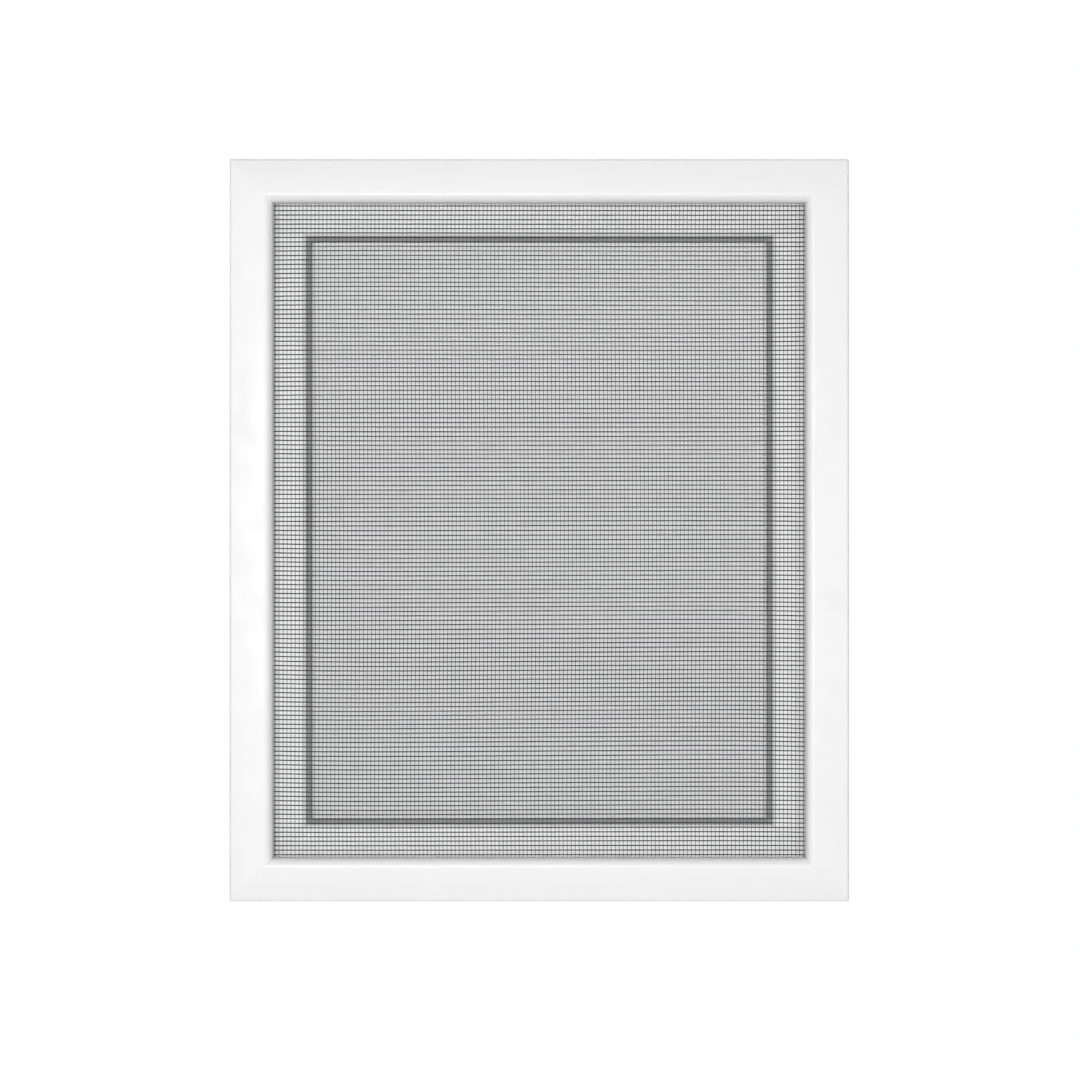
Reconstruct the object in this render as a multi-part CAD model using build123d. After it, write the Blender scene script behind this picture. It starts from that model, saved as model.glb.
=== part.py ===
"""Window insect screen: a small white screen frame with woven mesh, clipped onto a white base frame with a grey seal.

The screen stands upright as it does in a window. X is its width, Z its height and Y its depth, and its face
looks towards -Y. The origin is the middle of the four fixing holes, on the flat rear face that lies against
the window. Every size is in millimetres.

Each rail is an extrusion, drawn as a section and cut to a mitre at both ends. In a section, "inward" is the
distance from the outer edge of the screen towards the middle of its opening, and "back" is the distance
behind the foremost line of the face.
"""

import os

from build123d import *

# Overall sizes
overall_width = 217.0
overall_height = 260.0

# Front rail, the white border with the mesh behind it
face_width = 15.0
front_depth = 9.4
face_rise = 0.5
edge_radius = 0.8
corner_radius = 0.6
bevel_width = 3.0
bevel_depth = 3.0
front_wall = 1.3
lip_wall = 1.2
lip_edge = 0.3

# Groove that holds the edge of the mesh
groove_width = 3.4
groove_depth = 3.6

# Insect mesh, woven 18 threads to the inch across and 16 up
thread_pitch_x = 25.4 / 18
thread_pitch_z = 25.4 / 16
mesh_thickness = 0.6
ridge_height = 0.2
threads_per_ridge = 4
mesh_back = 7.0
hem_thickness = 0.35
gap_columns = 10
gap_rows = 12
bar_width = 4.2

# Round cord that presses the mesh into its groove
spline_clearance = 0.05

# Base rail, which is screwed to the window and shows as a ledge behind the mesh
base_inset = 0.6
base_depth = 4.5
base_wall = 1.4
floor_thickness = 1.9
channel_width = 7.6
ledge_width = 11.1
chamber_wall = 1.3
base_edge = 0.4

# Snap legs of the front rail and the hooks of the base rail
hook_reach = 0.5
hook_thickness = 0.8
leg_thickness = 0.7
leg_length = 1.9
snap_clearance = 0.1

# Seal strip at the inner edge of the ledge
seal_width = 2.0
seal_inset = 0.4
seal_radius = 0.7
slot_neck = 1.1
slot_mouth = 0.8
slot_head = 0.8
slot_head_extra = 0.4
seal_clearance = 0.1

# Corner keys inside the front rails
key_arm_length = 26.0
key_clearance = 0.1
key_root = 2.0
key_tooth = 0.4
key_teeth = 5
key_core_wall = 1.4
key_core_depth = 3.6

# Flat corner plates inside the base rails
plate_arm_length = 36.0
plate_clearance = 0.1
plate_chamfer = 2.5

# Fixing holes through the floor of the two upright base rails
fixing_spacing = 160.0
fixing_hole_radius = 1.6
countersink_radius = 2.9

# Places that follow from the sizes above
total_depth = front_depth + base_depth
ridge_line = face_width - bevel_width
groove_end = face_width - lip_wall
groove_start = groove_end - groove_width
groove_floor = mesh_back - groove_depth
key_chamber_width = groove_start - 2 * front_wall
key_chamber_front = face_rise + front_wall
key_chamber_depth = front_depth - front_wall - key_chamber_front
channel_start = base_inset + base_wall
channel_end = channel_start + channel_width
channel_floor = total_depth - floor_thickness
ledge_end = face_width + ledge_width
slot_depth = slot_mouth + slot_head
plate_chamber_start = channel_end + base_wall
plate_chamber_width = ledge_end - slot_depth - chamber_wall - plate_chamber_start
plate_chamber_depth = base_depth - 2 * chamber_wall
slot_middle = front_depth + base_depth / 2
fixing_inward = channel_start + channel_width / 2

# Sides and corners in the order in which a quarter turn about Y takes one to the next
SIDES = ("bottom", "left", "top", "right")
CORNERS = ("bottom_left", "top_left", "top_right", "bottom_right")


def at(inward, back):
    """A point of a section, on the plane that faces along a rail."""
    return (back - total_depth, inward)


def polygon_face(points):
    """The face inside a closed run of straight edges."""
    return make_face(Polyline(*points, close=True))


def round_corners(face, points, radius):
    """Rounds the corners of a section that lie at the given points."""
    wanted = [Vector(*point) for point in points]
    corners = [v for v in face.vertices() if min((Vector(v.Y, v.Z) - w).length for w in wanted) < 1e-4]
    return fillet(corners, radius)


def mitred(section, length, reach):
    """Extrudes a section along X and cuts both ends at 45 degrees, out to the reach inwards."""
    bar = extrude(section, amount=length / 2, both=True)
    half = length / 2
    trapezium = Plane.XZ * polygon_face([(-half, 0), (half, 0), (half - reach, reach), (reach - half, reach)])
    return bar & extrude(trapezium, amount=2 * total_depth, both=True)


def side_length(side):
    """Length of a side along its outer edge."""
    return overall_width if side in ("bottom", "top") else overall_height


def on_side(shape, side):
    """Moves a rail drawn with its outer edge on Z = 0 to one side of the screen."""
    across = overall_height if side in ("bottom", "top") else overall_width
    return Rot(0, 90 * SIDES.index(side), 0) * (Pos(0, 0, -across / 2) * shape)


def filed_outline():
    """A block with the outline of the front frame, whose four corners are filed round after the mitres are joined."""
    outline = Plane.XZ * RectangleRounded(overall_width, overall_height, corner_radius)
    return extrude(outline, amount=2 * total_depth, both=True)


def front_section():
    """White front rail: bowed face, rounded inner bevel, key chamber, mesh groove and two snap legs."""
    edge_start = at(0, face_rise + edge_radius)
    edge_end = at(edge_radius, face_rise)
    ridge = at(ridge_line, 0)
    bevel_end = at(face_width, bevel_depth)
    outline = [
        TangentArc(edge_start, edge_end, tangent=(-1, 0)),
        TangentArc(ridge, edge_end, tangent=(0, -1)),
        TangentArc(ridge, bevel_end, tangent=(0, 1)),
        Polyline(
            bevel_end,
            at(face_width, mesh_back),
            at(groove_end, mesh_back),
            at(groove_end, groove_floor),
            at(groove_start, groove_floor),
            at(groove_start, front_depth),
            at(0, front_depth),
            edge_start,
        ),
    ]
    body = make_face(outline)
    chamber = polygon_face([
        at(front_wall, key_chamber_front),
        at(front_wall + key_chamber_width, key_chamber_front),
        at(front_wall + key_chamber_width, key_chamber_front + key_chamber_depth),
        at(front_wall, key_chamber_front + key_chamber_depth),
    ])
    section = Plane.YZ * (body - chamber + snap_leg(1) + snap_leg(-1))
    return round_corners(section, [at(face_width, mesh_back)], lip_edge)


def snap_leg(direction):
    """One barbed leg behind the front rail, on the outer (1) or inner (-1) side of the base channel."""
    middle = channel_start + channel_width / 2

    def across(from_wall):
        return middle - direction * (channel_width / 2 - from_wall)

    outside = hook_reach + snap_clearance
    barb_top = front_depth + hook_thickness + snap_clearance
    return polygon_face([
        at(across(outside), front_depth),
        at(across(outside), barb_top),
        at(across(snap_clearance), barb_top),
        at(across(outside), front_depth + leg_length),
        at(across(outside + leg_thickness), front_depth + leg_length),
        at(across(outside + leg_thickness), front_depth),
    ])


def base_section():
    """White base rail: screw channel with two hooks, ledge, plate chamber and the slot of the seal."""
    hooks = [channel_start, channel_end]
    hook_back = front_depth + hook_thickness
    body = polygon_face([
        at(base_inset, front_depth),
        at(hooks[0] + hook_reach, front_depth),
        at(hooks[0] + hook_reach, hook_back),
        at(hooks[0], hook_back),
        at(hooks[0], channel_floor),
        at(hooks[1], channel_floor),
        at(hooks[1], hook_back),
        at(hooks[1] - hook_reach, hook_back),
        at(hooks[1] - hook_reach, front_depth),
        at(ledge_end, front_depth),
        at(ledge_end, total_depth),
        at(base_inset, total_depth),
    ])
    chamber = polygon_face([
        at(plate_chamber_start, front_depth + chamber_wall),
        at(plate_chamber_start + plate_chamber_width, front_depth + chamber_wall),
        at(plate_chamber_start + plate_chamber_width, total_depth - chamber_wall),
        at(plate_chamber_start, total_depth - chamber_wall),
    ])
    section = Plane.YZ * (body - chamber - t_shape(slot_mouth, slot_head, 0))
    return round_corners(section, [at(base_inset, total_depth), at(ledge_end, total_depth)], base_edge)


def t_shape(mouth, head, clearance):
    """The T-shaped slot in the edge of the ledge, or with a clearance the foot of the seal that fills it."""
    neck = slot_neck / 2 - clearance
    wide = neck + slot_head_extra
    neck_end = ledge_end - mouth - clearance
    head_end = ledge_end - mouth - head + clearance
    return polygon_face([
        at(ledge_end, slot_middle - neck),
        at(ledge_end, slot_middle + neck),
        at(neck_end, slot_middle + neck),
        at(neck_end, slot_middle + wide),
        at(head_end, slot_middle + wide),
        at(head_end, slot_middle - wide),
        at(neck_end, slot_middle - wide),
        at(neck_end, slot_middle - neck),
    ])


def seal_section():
    """Grey seal strip: a T-shaped foot in the slot and a round-edged body against the edge of the ledge."""
    front = front_depth + seal_inset
    back = total_depth - seal_inset
    body = polygon_face([
        at(ledge_end, front),
        at(ledge_end + seal_width, front),
        at(ledge_end + seal_width, back),
        at(ledge_end, back),
    ])
    section = Plane.YZ * (body + t_shape(slot_mouth, slot_head, seal_clearance))
    return round_corners(section, [at(ledge_end + seal_width, front), at(ledge_end + seal_width, back)], seal_radius)


def spline_section():
    """Round cord that wedges the folded edge of the mesh in its groove."""
    radius = groove_width / 2 - hem_thickness - spline_clearance
    middle = at(groove_start + groove_width / 2, groove_floor + hem_thickness + spline_clearance + radius)
    return Plane.YZ * (Pos(*middle) * Circle(radius))


def hem_section():
    """Edge of the mesh, folded round the spline in its groove."""
    return Plane.YZ * polygon_face([
        at(groove_end - hem_thickness, mesh_back + ridge_height),
        at(groove_end, mesh_back + ridge_height),
        at(groove_end, groove_floor),
        at(groove_start, groove_floor),
        at(groove_start, mesh_back - hem_thickness),
        at(groove_start + hem_thickness, mesh_back - hem_thickness),
        at(groove_start + hem_thickness, groove_floor + hem_thickness),
        at(groove_end - hem_thickness, groove_floor + hem_thickness),
    ])


def ridged_half(plane, width, length, cell, pitch, middle, crest):
    """Half of the mesh's thickness: a slab whose outer side rises in evenly spaced ridges, one on each bar."""
    ridge_step = cell / max(1, round(cell / (pitch * threads_per_ridge)))
    ridges = 2 * int(width / (2 * ridge_step)) - 1
    valley = crest + (ridge_height if middle > crest else -ridge_height)
    points = [(-width / 2, middle), (-width / 2, valley), (-ridges * ridge_step / 2, valley)]
    for i in range(ridges):
        across = (i - ridges / 2) * ridge_step
        points += [(across + ridge_step / 2, crest), (across + ridge_step, valley)]
    points += [(width / 2, valley), (width / 2, middle)]
    return extrude(plane * polygon_face(points), amount=length / 2, both=True)


def insect_mesh():
    """Mesh as one thin wall: upright ridges in front, level ridges behind, and a grid of square gaps."""
    width = overall_width - 2 * (groove_end - hem_thickness)
    height = overall_height - 2 * (groove_end - hem_thickness)
    cell_width = (overall_width - 2 * face_width) / gap_columns
    cell_height = (overall_height - 2 * face_width) / gap_rows
    front = mesh_back - total_depth
    back = front + mesh_thickness
    middle = (front + back) / 2
    upright = Plane((0, 0, 0), x_dir=(1, 0, 0), z_dir=(0, 0, 1))
    level = Plane((0, 0, 0), x_dir=(0, 0, 1), z_dir=(-1, 0, 0))
    wall = ridged_half(upright, width, height, cell_width, thread_pitch_x, middle, front)
    wall += ridged_half(level, height, width, cell_height, thread_pitch_z, middle, back)
    wall += [on_side(mitred(hem_section(), side_length(side), groove_end), side) for side in SIDES]
    gaps = GridLocations(cell_width, cell_height, gap_columns, gap_rows)
    openings = Sketch() + gaps * Rectangle(cell_width - bar_width, cell_height - bar_width)
    return wall - extrude(Plane.XZ * openings, amount=total_depth)


def corner_key():
    """L-shaped key that slides into the chambers of two front rails, with teeth along both arms."""
    near = front_wall + key_clearance
    far = front_wall + key_chamber_width - key_clearance
    first_tooth = far + key_root
    tooth_length = (key_arm_length - first_tooth) / key_teeth
    outer = [(near, near)]
    inner = []
    for i in range(key_teeth):
        start = first_tooth + i * tooth_length
        end = start + tooth_length
        outer += [(start, near), (end, near + key_tooth)]
        inner += [(start, far), (end, far - key_tooth)]
    arm = outer + inner[::-1] + [(far, far)]
    other_arm = [(z, x) for x, z in reversed(arm[1:-1])]
    thickness = key_chamber_depth - 2 * key_clearance
    front = key_chamber_front + key_clearance - total_depth
    key = Pos(0, front, 0) * extrude(Plane.XZ * polygon_face(arm + other_arm), amount=-thickness)
    core = far - near - 2 * key_core_wall
    middle = (near + far) / 2
    core_length = key_arm_length - far - 2 * key_core_wall
    for centre, size in (
        ((far + key_core_wall + core_length / 2, middle), (core_length, core)),
        ((middle, far + key_core_wall + core_length / 2), (core, core_length)),
    ):
        pocket = Pos(*centre) * Rectangle(*size)
        key -= Pos(0, front + thickness - key_core_depth, 0) * extrude(Plane.XZ * pocket, amount=-key_core_depth)
    return key


def corner_plate():
    """Flat steel angle that slides into the chambers of two base rails."""
    near = plate_chamber_start + plate_clearance
    far = plate_chamber_start + plate_chamber_width - plate_clearance
    end = near + plate_arm_length
    arm = [(near, near), (end - plate_chamfer, near), (end, near + plate_chamfer), (end, far - plate_chamfer)]
    arm += [(end - plate_chamfer, far), (far, far)]
    other_arm = [(z, x) for x, z in reversed(arm[1:-1])]
    front = front_depth + chamber_wall + plate_clearance - total_depth
    thickness = plate_chamber_depth - 2 * plate_clearance
    return Pos(0, front, 0) * extrude(Plane.XZ * polygon_face(arm + other_arm), amount=-thickness)


def in_corner(shape, corner):
    """Moves a piece drawn in a corner at the origin, arms along +X and +Z, to a corner of the screen."""
    x = overall_width / 2 if "right" in corner else -overall_width / 2
    z = overall_height / 2 if "top" in corner else -overall_height / 2
    return Pos(x, 0, z) * (Rot(0, 90 * CORNERS.index(corner), 0) * shape)


def base_rail(side):
    rail = mitred(base_section(), side_length(side), ledge_end)
    if side in ("left", "right"):
        for along in (-fixing_spacing / 2, fixing_spacing / 2):
            rail -= Pos(along, 0, fixing_inward) * countersunk_hole()
    return on_side(rail, side)


def countersunk_hole():
    """Screw hole along Y, with its countersink in the floor of the channel."""
    floor = channel_floor - total_depth
    sink_depth = countersink_radius - fixing_hole_radius
    hole = Pos(0, floor, 0) * (Rot(-90, 0, 0) * Cylinder(fixing_hole_radius, 2 * floor_thickness))
    cone = Rot(-90, 0, 0) * Cone(countersink_radius, fixing_hole_radius, sink_depth)
    return hole + Pos(0, floor + sink_depth / 2, 0) * cone


def build():
    """Every piece of the screen, by name."""
    pieces = {"insect_mesh": insect_mesh()}
    for side in SIDES:
        length = side_length(side)
        front_rail = on_side(mitred(front_section(), length, face_width), side)
        pieces[f"frame_rail_{side}"] = front_rail & filed_outline()
        pieces[f"base_rail_{side}"] = base_rail(side)
        pieces[f"seal_strip_{side}"] = on_side(mitred(seal_section(), length, ledge_end + seal_width), side)
        pieces[f"mesh_spline_{side}"] = on_side(mitred(spline_section(), length, groove_end), side)
    for corner in CORNERS:
        pieces[f"corner_key_{corner}"] = in_corner(corner_key(), corner)
        pieces[f"corner_plate_{corner}"] = in_corner(corner_plate(), corner)
    return pieces


os.makedirs("parts", exist_ok=True)
for name, piece in build().items():
    export_step(piece, f"parts/{name}.step")
    print(name, round(piece.volume, 1))
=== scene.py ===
# %% [markdown]
# # A window insect screen
#
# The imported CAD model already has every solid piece: the mitred front rails, the base rails behind them,
# the seal, the cords that hold the mesh, and the keys and plates inside the corners. This lesson gives
# them their finishes, weaves the real mesh in place of the plain CAD one, and lights the whole for a
# plain product picture. The frame is loaded first, because all that follows is measured from it.

import math
import random

import bmesh
import bpy
from mathutils import Matrix, Vector


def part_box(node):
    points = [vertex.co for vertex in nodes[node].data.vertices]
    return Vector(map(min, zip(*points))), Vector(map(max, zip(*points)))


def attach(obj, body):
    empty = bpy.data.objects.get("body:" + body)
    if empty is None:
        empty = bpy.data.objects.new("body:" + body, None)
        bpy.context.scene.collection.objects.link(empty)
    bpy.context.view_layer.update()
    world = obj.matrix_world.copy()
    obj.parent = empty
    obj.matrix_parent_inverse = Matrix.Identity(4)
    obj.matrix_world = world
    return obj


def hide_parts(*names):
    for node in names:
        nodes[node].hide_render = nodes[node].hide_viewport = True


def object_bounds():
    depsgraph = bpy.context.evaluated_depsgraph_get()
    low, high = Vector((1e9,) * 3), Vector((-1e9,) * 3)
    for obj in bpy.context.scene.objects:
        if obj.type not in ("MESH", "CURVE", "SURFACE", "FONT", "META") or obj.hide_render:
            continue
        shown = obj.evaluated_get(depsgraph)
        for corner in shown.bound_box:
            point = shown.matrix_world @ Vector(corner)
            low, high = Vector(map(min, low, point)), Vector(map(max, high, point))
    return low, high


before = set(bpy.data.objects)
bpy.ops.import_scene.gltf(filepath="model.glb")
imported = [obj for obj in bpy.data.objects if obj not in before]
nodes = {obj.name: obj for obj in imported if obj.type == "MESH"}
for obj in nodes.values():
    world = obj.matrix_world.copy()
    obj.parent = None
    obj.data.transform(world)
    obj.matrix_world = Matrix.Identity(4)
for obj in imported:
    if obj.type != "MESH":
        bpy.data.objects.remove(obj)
cad_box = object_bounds()
print(len(nodes), "CAD nodes, from", cad_box[0], "to", cad_box[1])

# %% [markdown]
# ## The camera
#
# The picture looks straight at the face and shows the inner wall of the frame only as a hairline, so
# the camera stands well back with a long lens. Its distance follows from one measure: how much of the
# face one pixel covers. The object sits a little above the middle of the picture, so the camera is
# lower than its centre by the same amount, which keeps the view level.

# %% Camera
PICTURE = 1080
PIXEL = 0.00035
LENS = 100
SENSOR = 36
OBJECT_LEFT_PIXELS = 0.75
OBJECT_UP_PIXELS = 9.75

face_plane = cad_box[0].y
camera_distance = PICTURE * PIXEL * LENS / SENSOR

camera = bpy.data.objects.new("camera", bpy.data.cameras.new("camera"))
bpy.context.scene.collection.objects.link(camera)
camera.data.lens = LENS
camera.data.sensor_width = SENSOR
camera.location = (OBJECT_LEFT_PIXELS * PIXEL, face_plane - camera_distance, -OBJECT_UP_PIXELS * PIXEL)
camera.rotation_euler = (math.radians(90), 0, 0)
bpy.context.scene.camera = camera
print("camera", round(camera_distance, 4), "m before the face")

# %% [markdown]
# ## Helpers for materials
#
# Every finish of the object is one Principled shader, fed by noise through a few small node groups.
# `finish` makes the material, `use_group` places a group in it, and `link` joins two sockets by name, so
# that each finish below reads as a list of what feeds what. `calculate` adds a sum or a comparison.
# Object coordinates are in metres, so a noise scale of 1000 has features of about a millimetre.

# %% Material helpers
def finish(name, **values):
    """A new material, with plain values set on its Principled shader's own sockets."""
    material = bpy.data.materials.new(name)
    material.use_nodes = True
    shader = material.node_tree.nodes["Principled BSDF"]
    for title, value in values.items():
        shader.inputs[title.replace("_", " ")].default_value = value
    return material, shader


def add(tree, kind, **values):
    """A node in a tree, with values for its sockets."""
    node = tree.nodes.new(kind)
    for title, value in values.items():
        node.inputs[title.replace("_", " ")].default_value = value
    return node


def link(start, output, end, title):
    """Joins an output of one node to an input of another."""
    start.id_data.links.new(start.outputs[output], end.inputs[title])


def calculate(tree, operation, *values):
    """Adds a math node. Its values, and what comes back, are each a node and its output's name."""
    node = add(tree, "ShaderNodeMath")
    node.operation = operation
    for i, (source, title) in enumerate(values):
        link(source, title, node, i)
    return node, "Value"


# %% Helpers for groups and pieces
def new_group(name, inputs, outputs):
    """An empty node group: inputs with their defaults, a number or a colour, and outputs with their kinds."""
    group = bpy.data.node_groups.new(name, "ShaderNodeTree")
    for title, value in inputs.items():
        kind = "NodeSocketColor" if isinstance(value, tuple) else "NodeSocketFloat"
        group.interface.new_socket(title, in_out="INPUT", socket_type=kind).default_value = value
    for title, kind in outputs.items():
        group.interface.new_socket(title, in_out="OUTPUT", socket_type=kind)
    return group, group.nodes.new("NodeGroupInput"), group.nodes.new("NodeGroupOutput")


def use_group(material, group, **values):
    """That group as a node of the material, with its own values."""
    node = material.node_tree.nodes.new("ShaderNodeGroup")
    node.node_tree = group
    for title, value in values.items():
        node.inputs[title.replace("_", " ")].default_value = value
    return node


def give(material, *names):
    """Puts the material on these CAD nodes."""
    for name in names:
        mesh = nodes[name].data
        mesh.materials.clear()
        mesh.materials.append(material)
    print(material.name, "on", len(names), "nodes")


# %% [markdown]
# ## Shared effects
#
# Paint, rubber and plastic are never quite even. `two_tones` drifts a colour between two near values,
# and `wandering_gloss` does the same to a roughness, both by soft clouds of noise. `skin` is the small
# relief of a surface: the orange peel of a baked coating, or the grain of moulded rubber. They are
# groups, so that each finish only says how large and how strong its own version is.

# %% Cloudy colour and gloss
def clouds(group, group_in):
    """A soft noise mask from 0 to 1, inside a group that has a Scale input."""
    place = add(group, "ShaderNodeTexCoord")
    noise = add(group, "ShaderNodeTexNoise", Detail=3.0, Roughness=0.55)
    spread = add(group, "ShaderNodeMapRange", From_Min=0.3, From_Max=0.7)
    link(place, "Object", noise, "Vector")
    link(group_in, "Scale", noise, "Scale")
    link(noise, "Fac", spread, "Value")
    return spread


two_tones, group_in, group_out = new_group(
    "two_tones",
    {"Scale": 60.0, "Dark": (0.0, 0.0, 0.0, 1.0), "Light": (1.0, 1.0, 1.0, 1.0)},
    {"Color": "NodeSocketColor"},
)
blend = add(two_tones, "ShaderNodeMixRGB")
link(clouds(two_tones, group_in), "Result", blend, "Fac")
link(group_in, "Dark", blend, "Color1")
link(group_in, "Light", blend, "Color2")
link(blend, "Color", group_out, "Color")

wandering_gloss, group_in, group_out = new_group(
    "wandering_gloss", {"Scale": 60.0, "Low": 0.4, "High": 0.5}, {"Roughness": "NodeSocketFloat"}
)
spread = clouds(wandering_gloss, group_in)
link(group_in, "Low", spread, "To Min")
link(group_in, "High", spread, "To Max")
link(spread, "Result", group_out, "Roughness")
print("made", two_tones.name, "and", wandering_gloss.name)

# %% Fine relief
skin, group_in, group_out = new_group(
    "skin", {"Scale": 900.0, "Strength": 0.05}, {"Normal": "NodeSocketVector"}
)
place = add(skin, "ShaderNodeTexCoord")
grain = add(skin, "ShaderNodeTexNoise", Detail=2.0, Roughness=0.5)
relief = add(skin, "ShaderNodeBump", Distance=0.0001)
link(place, "Object", grain, "Vector")
link(group_in, "Scale", grain, "Scale")
link(grain, "Fac", relief, "Height")
link(group_in, "Strength", relief, "Strength")
link(relief, "Normal", group_out, "Normal")
print("made", skin.name)

# %% [markdown]
# ## Marks that follow the frame
#
# Two marks on a rail follow the frame's shape. Rails that meet in a mitre leave a hairline joint: in the
# model they meet face to face, with nothing to see between them, so the joint is a fine shade in the
# coat's colour. And along the seal the coat darkens softly: a painted shade, for the shadow beside the
# seal. Both are worked out from how far a point lies in from the object's side and from its end. On a
# joint the two distances are equal, and along the seal the smaller of them says how near the seal is.

# %% How far in
rail_marks, group_in, group_out = new_group(
    "rail_marks",
    {
        "Color": (1.0, 1.0, 1.0, 1.0),
        "Half Width": 0.1,
        "Half Height": 0.1,
        "Joint": (0.5, 0.5, 0.5, 1.0),
        "Line": 0.00005,
        "Dust": (1.0, 1.0, 1.0, 1.0),
        "Dust From": 0.02,
        "Dust To": 0.03,
    },
    {"Color": "NodeSocketColor"},
)
place = add(rail_marks, "ShaderNodeTexCoord")
split = add(rail_marks, "ShaderNodeSeparateXYZ")
link(place, "Object", split, "Vector")
inward = []
for axis, half in (("X", "Half Width"), ("Z", "Half Height")):
    from_middle = calculate(rail_marks, "ABSOLUTE", (split, axis))
    inward.append(calculate(rail_marks, "SUBTRACT", (group_in, half), from_middle))

# %% Joint line and dust
def shade(group, color, tint, mask):
    """Multiplies a colour by a tint where the mask is 1. Each is a node and its socket's name."""
    node = add(group, "ShaderNodeMixRGB")
    node.blend_type = "MULTIPLY"
    for title, (source, output) in {"Color1": color, "Color2": tint, "Fac": mask}.items():
        link(source, output, node, title)
    return node, "Color"


apart = calculate(rail_marks, "ABSOLUTE", calculate(rail_marks, "SUBTRACT", *inward))
joint = add(rail_marks, "ShaderNodeMapRange", To_Min=1.0, To_Max=0.0)
link(*apart, joint, "Value")
link(group_in, "Line", joint, "From Max")

# Painted shade: the coat darkens softly towards the seal, a shadow beside it painted into the colour.
seal_shade = add(rail_marks, "ShaderNodeMapRange")
seal_shade.interpolation_type = "SMOOTHSTEP"
link(*calculate(rail_marks, "MINIMUM", *inward), seal_shade, "Value")
link(group_in, "Dust From", seal_shade, "From Min")
link(group_in, "Dust To", seal_shade, "From Max")

lined = shade(rail_marks, (group_in, "Color"), (group_in, "Joint"), (joint, "Result"))
seal_shaded = shade(rail_marks, lined, (group_in, "Dust"), (seal_shade, "Result"))
link(*seal_shaded, group_out, "Color")
print("made", rail_marks.name)


# %% One recipe for a finish
def mottled(name, dark, light, tone_scale, gloss, gloss_scale, grain_scale, grain_strength, **values):
    """A finish from the three effects: its two tones, its range of roughness and its grain."""
    material, shader = finish(name, **values)
    tone = use_group(material, two_tones, Scale=tone_scale, Dark=(*dark, 1), Light=(*light, 1))
    wander = use_group(material, wandering_gloss, Scale=gloss_scale, Low=gloss[0], High=gloss[1])
    bump = use_group(material, skin, Scale=grain_scale, Strength=grain_strength)
    link(tone, "Color", shader, "Base Color")
    link(wander, "Roughness", shader, "Roughness")
    link(bump, "Normal", shader, "Normal")
    return material


# %% [markdown]
# ## White coated rails
#
# The front and base rails are aluminium sections with a baked satin white coating. On the real rail the
# colour is even to the eye, and what shows that it is paint is a soft gloss that wanders, and a fine
# orange peel where a highlight crosses the rounded edge. So the colour changes by about a fiftieth, the
# roughness by more, and the relief is a few micrometres deep. The base rails take the same recipe, a
# little duller, and whiter as painted light, which lifts the ledge that lies in the mesh's shade. Along
# the seal their colour darkens in a painted shade, for the shadow beside the seal.

# %% The coat
GLOSS_CLOUDS = 140
ORANGE_PEEL = 1400
PEEL_STRENGTH = 0.06
JOINT_LINE = 0.00004
JOINT_SHADE = (0.55, 0.55, 0.55, 1)


def coated(name, dark, light, tone_scale, gloss, **marks):
    """The satin coat, with the frame's marks on its colour."""
    material = mottled(name, dark, light, tone_scale, gloss, GLOSS_CLOUDS, ORANGE_PEEL, PEEL_STRENGTH)
    coat = material.node_tree.nodes["Principled BSDF"].inputs["Base Color"]
    marked = use_group(
        material,
        rail_marks,
        Half_Width=cad_box[1].x,
        Half_Height=cad_box[1].z,
        Joint=JOINT_SHADE,
        Line=JOINT_LINE,
        **marks,
    )
    link(coat.links[0].from_node, "Color", marked, "Color")
    link(marked, "Color", coat.node, "Base Color")
    return material


# %% Coated rails
SIDES = ("bottom", "left", "top", "right")
# Painted shade along the seal: its tint and the width over which it fades in.
SEAL_PAINTED_SHADE = (0.72, 0.72, 0.72, 1)
SEAL_SHADE_WIDTH = 0.0019

seal_at = cad_box[1].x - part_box("base_rail_right")[0].x
frame_white = coated(
    "frame_white", dark=(0.785, 0.785, 0.785), light=(0.80, 0.80, 0.80), tone_scale=38, gloss=(0.34, 0.44)
)
# Painted light: the base coat is whiter than the front coat, to lift the ledge that lies in the mesh's shade.
base_white = coated(
    "base_white",
    dark=(0.882, 0.882, 0.88),
    light=(0.897, 0.897, 0.895),
    tone_scale=45,
    gloss=(0.4, 0.5),
    Dust=SEAL_PAINTED_SHADE,
    Dust_From=seal_at - SEAL_SHADE_WIDTH,
    Dust_To=seal_at,
)
give(frame_white, *[f"frame_rail_{side}" for side in SIDES])
give(base_white, *[f"base_rail_{side}" for side in SIDES])
print("the seal starts", round(seal_at, 4), "m in from the edge")

# %% [markdown]
# ## Seal, cords, keys and plates
#
# The seal is a soft mid-grey rubber with a dry surface: nearly no highlight and a fine grain. The cords
# are black rubber. The corner keys are moulded from dark plastic, so their skin is the spark pattern of
# the mould, and the corner plates are stamped from zinc-plated sheet, a metal with cloudy crystals.

# %% Rubber
seal_grey = mottled(
    "seal_grey",
    dark=(0.278, 0.28, 0.282),
    light=(0.317, 0.319, 0.321),
    tone_scale=220,
    gloss=(0.62, 0.74),
    gloss_scale=300,
    grain_scale=3500,
    grain_strength=0.2,
)
spline_black = mottled(
    "spline_black",
    dark=(0.022, 0.022, 0.023),
    light=(0.034, 0.034, 0.035),
    tone_scale=400,
    gloss=(0.55, 0.7),
    gloss_scale=500,
    grain_scale=4000,
    grain_strength=0.25,
)
give(seal_grey, *[f"seal_strip_{side}" for side in SIDES])
give(spline_black, *[f"mesh_spline_{side}" for side in SIDES])

# %% Plastic and zinc
CORNERS = ("bottom_left", "top_left", "top_right", "bottom_right")

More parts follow.
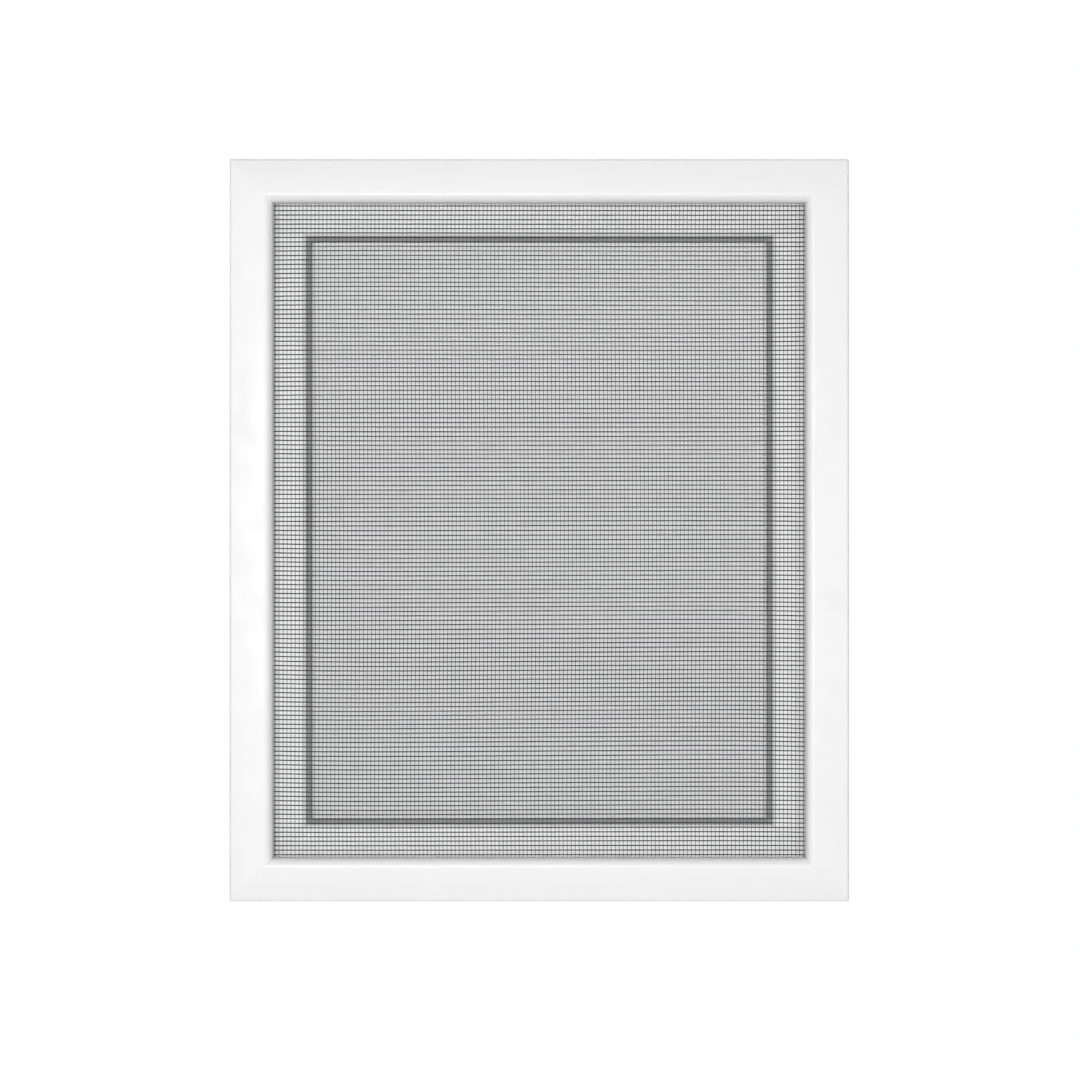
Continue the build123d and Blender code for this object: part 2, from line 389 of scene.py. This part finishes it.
key_plastic = mottled(
    "key_plastic",
    dark=(0.10, 0.10, 0.102),
    light=(0.13, 0.13, 0.132),
    tone_scale=160,
    gloss=(0.5, 0.6),
    gloss_scale=400,
    grain_scale=3000,
    grain_strength=0.3,
)
plate_steel = mottled(
    "plate_steel",
    dark=(0.52, 0.53, 0.55),
    light=(0.66, 0.67, 0.68),
    tone_scale=500,
    gloss=(0.28, 0.42),
    gloss_scale=350,
    grain_scale=2500,
    grain_strength=0.05,
    Metallic=1.0,
)
give(key_plastic, *[f"corner_key_{corner}" for corner in CORNERS])
give(plate_steel, *[f"corner_plate_{corner}" for corner in CORNERS])

# %% [markdown]
# ## The thread's finish
#
# The mesh is glass yarn in a charcoal plastic coat. Near to, each thread is almost black with a dull
# shine along its top. The coat is a little uneven in thickness, which shows as a slow change in tone
# along the cloth.

# %% Charcoal thread
mesh_charcoal = mottled(
    "mesh_charcoal",
    dark=(0.014, 0.0145, 0.015),
    light=(0.026, 0.0265, 0.027),
    tone_scale=90,
    gloss=(0.45, 0.6),
    gloss_scale=700,
    grain_scale=9000,
    grain_strength=0.3,
    Specular_IOR_Level=0.2,
)
give(mesh_charcoal, "insect_mesh")

# %% [markdown]
# ## How the mesh is woven
#
# Insect mesh is a plain weave: each upright thread, the warp, goes over one level thread, the weft, and
# under the next. A picture of a weave on a flat sheet would look flat from the side, and a wireframe
# would have no crossings, so here every thread is modelled. A warp and a weft thread, and the same two
# waved the other way, are made by extruding a small ring. Copies of each pair then take turns across the
# opening, so that every thread clears the ones it crosses.
#
# The mesh has 18 threads to the inch across and 16 up. In the picture the level threads look twice as
# strong as the upright ones, so they are drawn about twice as thick. Each family waves by half of the sum
# of the two radii and a hair more, so the threads all but touch where they cross.

# %% Measures of the weave
INCH = 0.0254
WARPS_PER_INCH = 18
WEFTS_PER_INCH = 16
WARP_PITCH = INCH / WARPS_PER_INCH
WEFT_PITCH = INCH / WEFTS_PER_INCH
WARP_THICKNESS = 0.000165
WEFT_THICKNESS = 0.00034
THREAD_SIDES = 4
CROSSING_CLEARANCE = 0.000005
WAVE = (WARP_THICKNESS + WEFT_THICKNESS) / 4 + CROSSING_CLEARANCE
CAD_MESH_THICKNESS = 0.0006
LIP_CLEARANCE = 0.00001

opening_half_width = -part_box("frame_rail_left")[1].x
opening_half_height = -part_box("frame_rail_bottom")[1].z
lip_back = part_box("insect_mesh")[1].y - CAD_MESH_THICKNESS
mesh_plane = lip_back + WAVE + WEFT_THICKNESS / 2 + LIP_CLEARANCE
print("opening", round(2 * opening_half_width, 4), "by", round(2 * opening_half_height, 4), "m")

# %% [markdown]
# ## The tucked edge
#
# Past the opening the cloth turns forward into a groove of the front rail and goes round the cord, which
# wedges it there. Nothing of this shows from the front, but it is what holds the mesh, so the threads
# follow it. The path has four parts: a quarter turn into the groove, straight on, half a turn round the
# cord, and straight back to the cut end. Its place comes from the cord's own box.

# %% Path of the tucked edge
TURN_RADIUS = 0.00045
ROUND_CORD_RADIUS = 0.0015
CUT_END = 0.0017
QUARTER_STEPS = 2
HALF_STEPS = 6
ACROSS = 0
UP = 2


def cord_centre(node, axis):
    """How far a cord's centre is from the middle of the mesh, along an axis, and its depth."""
    low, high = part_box(node)
    return abs(low[axis] + high[axis]) / 2, (low.y + high.y) / 2


def tucked_path(reach, depth):
    """Points (reach, depth, direction) of the tucked edge, from where the cloth leaves its plane."""
    turn_start = reach - ROUND_CORD_RADIUS - TURN_RADIUS
    path = []
    for step in range(QUARTER_STEPS + 1):
        angle = math.radians(90) * step / QUARTER_STEPS
        path.append(
            (
                turn_start + TURN_RADIUS * math.sin(angle),
                mesh_plane - TURN_RADIUS * (1 - math.cos(angle)),
                -angle,
            )
        )
    for step in range(HALF_STEPS + 1):
        angle = math.radians(180) * step / HALF_STEPS
        path.append(
            (
                reach - ROUND_CORD_RADIUS * math.cos(angle),
                depth - ROUND_CORD_RADIUS * math.sin(angle),
                angle - math.radians(90),
            )
        )
    path.append((reach + ROUND_CORD_RADIUS, depth + CUT_END, math.radians(90)))
    return path


side_tuck = tucked_path(*cord_centre("mesh_spline_left", ACROSS))
end_tuck = tucked_path(*cord_centre("mesh_spline_bottom", UP))


print("the cloth leaves its plane", round(side_tuck[0][0], 4), "and", round(end_tuck[0][0], 4), "m out")

# %% [markdown]
# ## One thread
#
# A thread is extruded along X, ring by ring. Each ring is placed by its centre and by the direction that
# the thread takes there, so the same helper makes the waved middle and the tucked ends. A ring sits at
# the top of each crossing, alternately before and behind the cloth's plane, and that is all a wave of
# this size needs: four sides and one ring a crossing keep each family of threads under 200,000
# triangles.

# %% One woven thread
def thread_route(crossings, pitch, tuck, side):
    """Centres and directions of a thread's rings along X, waved at its crossings, tucked at both ends."""
    middle = (crossings - 1) / 2
    wave = [((i - middle) * pitch, mesh_plane + side * WAVE * (-1) ** i, 0.0) for i in range(crossings)]
    left = [(-reach, depth, -turn) for reach, depth, turn in reversed(tuck)]
    return left + wave + tuck


def woven_thread(route, thickness):
    """A closed thread along X that goes through the route's rings."""
    thread = bmesh.new()
    upright = Matrix.Rotation(math.radians(90), 4, "Y")
    ring = bmesh.ops.create_circle(
        thread, cap_ends=True, segments=THREAD_SIDES, radius=thickness / 2, matrix=upright
    )["verts"]
    edges = list({edge for vert in ring for edge in vert.link_edges})
    here = Matrix.Identity(4)
    for order, (x, y, turn) in enumerate(route):
        if order:
            grown = bmesh.ops.extrude_edge_only(thread, edges=edges)["geom"]
            ring = [item for item in grown if isinstance(item, bmesh.types.BMVert)]
            edges = [item for item in grown if isinstance(item, bmesh.types.BMEdge)]
        there = Matrix.Translation((x, y, 0)) @ Matrix.Rotation(turn, 4, "Z")
        bmesh.ops.transform(thread, matrix=there @ here.inverted(), verts=ring)
        here = there
    bmesh.ops.contextual_create(thread, geom=edges)
    bmesh.ops.recalc_face_normals(thread, faces=thread.faces)
    return thread


# %% [markdown]
# ## The cloth
#
# The threads of one family are copies of its two threads in turn, side by side. Real mesh is never
# perfectly even: a thread lies a few hundredths of a millimetre out of place, the rows stand a little
# closer here than there and fan out to one side, and the columns bow where the cloth was pulled over the
# frame. The first is a small random shift of each thread, from a fixed seed. The rest is one smooth
# drift of the finished cloth, both families together, so that they still cross where they should. It
# fades out towards the frame, because the tucked edges stay in their grooves.

# %% One family of threads
SHIFT = 0.00003


def family(count, pitch, routes, thickness, jitter):
    """The threads of one direction, along X and side by side along Z, the routes taking turns."""
    cloth = bmesh.new()
    for order, route in enumerate(routes):
        single = woven_thread(route, thickness)
        mesh = bpy.data.meshes.new("thread")
        single.to_mesh(mesh)
        single.free()
        for i in range(order, count, len(routes)):
            before = len(cloth.verts)
            cloth.from_mesh(mesh)
            cloth.verts.ensure_lookup_table()
            place = (i - (count - 1) / 2) * pitch + jitter.uniform(-SHIFT, SHIFT)
            bmesh.ops.translate(cloth, vec=(0, 0, place), verts=cloth.verts[before:])
        bpy.data.meshes.remove(mesh)
    return cloth


# %% Drift of the cloth
ROW_FAN = 0.0007
ROW_WANDER = 0.00016
COLUMN_BOW = 0.00035
FLAT_ROWS_AT = 0.3
LONG_WAVE = 18
SHORT_WAVE = 38
BOW_WAVE = 3


def drift(cloth):
    """Fans out the rows, lets their spacing wander and bows the columns, all fading out at the frame."""
    for vert in cloth.verts:
        across = vert.co.x / opening_half_width
        up = vert.co.z / opening_half_height
        if abs(across) < 1 and abs(up) < 1:
            calm = (1 - across**4) * (1 - up**4)
            wander = math.sin(LONG_WAVE * up) + math.sin(SHORT_WAVE * up) / 2
            vert.co.z += calm * (ROW_FAN * (FLAT_ROWS_AT - up) * across + ROW_WANDER * wander)
            vert.co.x += calm * COLUMN_BOW * math.cos(BOW_WAVE * up)


# %% A piece of cloth
def cloth_piece(name, cloth):
    """The finished threads as a smooth-shaded piece that stands for the plain CAD mesh."""
    mesh = bpy.data.meshes.new(name)
    cloth.to_mesh(mesh)
    cloth.free()
    mesh.materials.append(mesh_charcoal)
    mesh.shade_smooth()
    piece = bpy.data.objects.new(name, mesh)
    bpy.context.scene.collection.objects.link(piece)
    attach(piece, "root")
    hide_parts("insect_mesh")
    triangles = sum(len(face.vertices) - 2 for face in mesh.polygons)
    print(name, triangles, "triangles")
    return piece


# %% Weave it
SEED = 18

warp_count = 2 * int(opening_half_width / WARP_PITCH) + 1
weft_count = 2 * int(opening_half_height / WEFT_PITCH) + 1
jitter = random.Random(SEED)

weft = family(
    weft_count,
    WEFT_PITCH,
    [thread_route(warp_count, WARP_PITCH, side_tuck, side) for side in (1, -1)],
    WEFT_THICKNESS,
    jitter,
)
warp = family(
    warp_count,
    WARP_PITCH,
    [thread_route(weft_count, WEFT_PITCH, end_tuck, side) for side in (-1, 1)],
    WARP_THICKNESS,
    jitter,
)
bmesh.ops.rotate(warp, matrix=Matrix.Rotation(math.radians(-90), 3, "Y"), verts=warp.verts)
drift(weft)
drift(warp)
mesh_weft = cloth_piece("mesh_weft", weft)
mesh_warp = cloth_piece("mesh_warp", warp)
print(warp_count, "warp and", weft_count, "weft threads")

# %% [markdown]
# ## What the cloth was cut to
#
# The cut is the stretch between the grooves plus the tucked edge at both ends. A screen maker cuts the
# corners out of it, where two tucks would meet. The cloth is mostly holes, so the area that is compared
# with the model's is the part of the cut that its threads cover.

# %% [markdown]
# ## The stage
#
# The object hangs by its screw holes, so the floor lies some way below it, out of the camera's view, and
# takes a soft shadow. A strength of 1 on what the camera sees makes the world white, and the floor fades
# to that white towards its rim, so that no edge shows. Behind the mesh a pale grey card, a little lighter
# at the top, closes the opening of the base frame from behind: its grey and that change are painted shade,
# for the shaded background seen through the mesh. It shows only from the front: from behind it is
# see-through, and it lets the lamps' light pass.

# %% Pieces of the stage
def stage_piece(name, mesh, material):
    """A piece of the stage with its material."""
    piece = bpy.data.objects.new(name, mesh)
    bpy.context.scene.collection.objects.link(piece)
    mesh.materials.append(material)


def seen_directly(tree):
    """A mask of the rays that see a backdrop: the camera's, and those off gloss or through glass."""
    path = add(tree, "ShaderNodeLightPath")
    seen = (path, "Is Camera Ray")
    for other in ("Is Glossy Ray", "Is Transmission Ray"):
        seen = calculate(tree, "MAXIMUM", seen, (path, other))
    return seen


# %% Floor
FLOOR_RADIUS = 0.9
FLOOR_GLOW = 0.15
FADE_STARTS = 0.35

floor_material, floor_shader = finish("floor_white", Base_Color=(0.8, 0.8, 0.8, 1), Roughness=0.9)
tree = floor_material.node_tree
seen = seen_directly(tree)
glow = add(tree, "ShaderNodeMapRange", To_Max=FLOOR_GLOW)
link(*seen, glow, "Value")
link(glow, "Result", floor_shader, "Emission Strength")
floor_shader.inputs["Emission Color"].default_value = (1, 1, 1, 1)

place = add(tree, "ShaderNodeTexCoord")
level_place = add(tree, "ShaderNodeMapping", Scale=(1, 1, 0))
outward = add(tree, "ShaderNodeVectorMath")
outward.operation = "LENGTH"
fade = add(tree, "ShaderNodeMapRange", From_Min=FADE_STARTS, From_Max=FLOOR_RADIUS)
fade.interpolation_type = "SMOOTHSTEP"
share = calculate(tree, "MULTIPLY", (fade, "Result"), seen)
white = add(tree, "ShaderNodeEmission", Strength=1.0)
mix = add(tree, "ShaderNodeMixShader")
link(place, "Object", level_place, "Vector")
link(level_place, "Vector", outward, 0)
link(outward, "Value", fade, "Value")
link(*share, mix, "Fac")
link(floor_shader, "BSDF", mix, 1)
link(white, "Emission", mix, 2)
link(mix, "Shader", tree.nodes["Material Output"], "Surface")

# %% Floor's disc
FLOOR_BELOW = 0.3
DISC_SIDES = 96

disc = bmesh.new()
bmesh.ops.create_circle(
    disc,
    cap_ends=True,
    segments=DISC_SIDES,
    radius=FLOOR_RADIUS,
    matrix=Matrix.Translation((0, 0, cad_box[0].z - FLOOR_BELOW)),
)
floor_mesh = bpy.data.meshes.new("floor")
disc.to_mesh(floor_mesh)
disc.free()
stage_piece("floor", floor_mesh, floor_material)
print("floor", FLOOR_BELOW, "m below the object")

# %% Card behind the mesh
# Painted shade: the card's grey, darker towards the bottom, stands for the shaded background behind the mesh.
CARD_FOOT = 0.86
CARD_HEAD = 0.96

base_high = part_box("base_rail_left")[1]
card_half_width = -base_high.x
card_half_height = -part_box("base_rail_bottom")[1].z

card_material = bpy.data.materials.new("card_painted_shade")
card_material.use_nodes = True
tree = card_material.node_tree
tree.nodes.clear()
place = add(tree, "ShaderNodeTexCoord")
split = add(tree, "ShaderNodeSeparateXYZ")
tone = add(
    tree,
    "ShaderNodeMapRange",
    From_Min=-card_half_height,
    From_Max=card_half_height,
    To_Min=CARD_FOOT,
    To_Max=CARD_HEAD,
)
surface = add(tree, "ShaderNodeBsdfDiffuse")
link(place, "Object", split, "Vector")
link(split, "Z", tone, "Value")
link(tone, "Result", surface, "Color")
clear = add(tree, "ShaderNodeBsdfTransparent")
facing = add(tree, "ShaderNodeNewGeometry")
path = add(tree, "ShaderNodeLightPath")
unseen = calculate(tree, "MAXIMUM", (facing, "Backfacing"), (path, "Is Shadow Ray"))
mix = add(tree, "ShaderNodeMixShader")
output = add(tree, "ShaderNodeOutputMaterial")
link(*unseen, mix, "Fac")
link(surface, "BSDF", mix, 1)
link(clear, "BSDF", mix, 2)
link(mix, "Shader", output, "Surface")

# %% Card's plane
card = bmesh.new()
bmesh.ops.create_grid(card, x_segments=1, y_segments=1, size=1)
bmesh.ops.scale(card, vec=(card_half_width, card_half_height, 1), verts=card.verts)
bmesh.ops.rotate(card, matrix=Matrix.Rotation(math.radians(90), 3, "X"), verts=card.verts)
bmesh.ops.translate(card, vec=(0, base_high.y, 0), verts=card.verts)
card_mesh = bpy.data.meshes.new("card")
card.to_mesh(card_mesh)
card.free()
stage_piece("card", card_mesh, card_material)
print("card", round(2 * card_half_width, 4), "by", round(2 * card_half_height, 4), "m")

# %% [markdown]
# ## Light
#
# The main lamp is wide, soft and stands close to the camera, a little to its left. It fills the cells of
# the mesh without laying its shadow beside the threads, and the left rail comes out brightest, as in the
# picture. Weaker lamps further left and right of it shade the bevels, and two at the left and above keep
# the sides from going dull. Two lamps behind light the back. The levels are so low that hardly any of
# the white coating clips.

# %% World
WORLD_LIGHT = 0.19

world = bpy.data.worlds.new("world")
bpy.context.scene.world = world
world.use_nodes = True
tree = world.node_tree
tree.nodes.clear()
level = add(tree, "ShaderNodeMapRange", To_Min=WORLD_LIGHT, To_Max=1.0)
sky = add(tree, "ShaderNodeBackground", Color=(1, 1, 1, 1))
output = add(tree, "ShaderNodeOutputWorld")
link(*seen_directly(tree), level, "Value")
link(level, "Result", sky, "Strength")
link(sky, "Background", output, "Surface")
print("world light", WORLD_LIGHT, "and white where it is seen")

# %% Lamps
def softbox(name, place, size, power):
    """A rectangular area lamp that looks at the middle of the object."""
    data = bpy.data.lights.new(name, "AREA")
    data.shape = "RECTANGLE"
    data.size, data.size_y = size
    data.energy = power
    lamp = bpy.data.objects.new(name, data)
    lamp.location = place
    lamp.rotation_euler = (-Vector(place)).to_track_quat("-Z", "Y").to_euler()
    lamp.visible_camera = False
    bpy.context.scene.collection.objects.link(lamp)
    print(name, round(Vector(place).length, 2), "m away,", power, "W")


softbox("front_lamp", place=(-0.16, -1.3, 0.03), size=(0.5, 0.16), power=8.1)
softbox("front_left_lamp", place=(-0.5, -1.2, 0.0), size=(0.35, 0.3), power=0.5)
softbox("front_right_lamp", place=(0.5, -1.2, 0.0), size=(0.35, 0.3), power=3.0)
softbox("left_lamp", place=(-1.27, -0.59, 0.1), size=(0.6, 0.6), power=0.9)
softbox("top_lamp", place=(0.0, -0.59, 1.27), size=(0.6, 0.6), power=2.5)
softbox("back_left_lamp", place=(-0.9, 1.1, 0.5), size=(0.7, 0.7), power=9.0)
softbox("back_right_lamp", place=(1.0, 1.2, 0.7), size=(0.7, 0.7), power=10.0)

# %% [markdown]
# ## Colour
#
# The picture uses the plain Standard view, so a colour comes out about as it is written.

# %% Colour view
bpy.context.scene.view_settings.view_transform = "Standard"
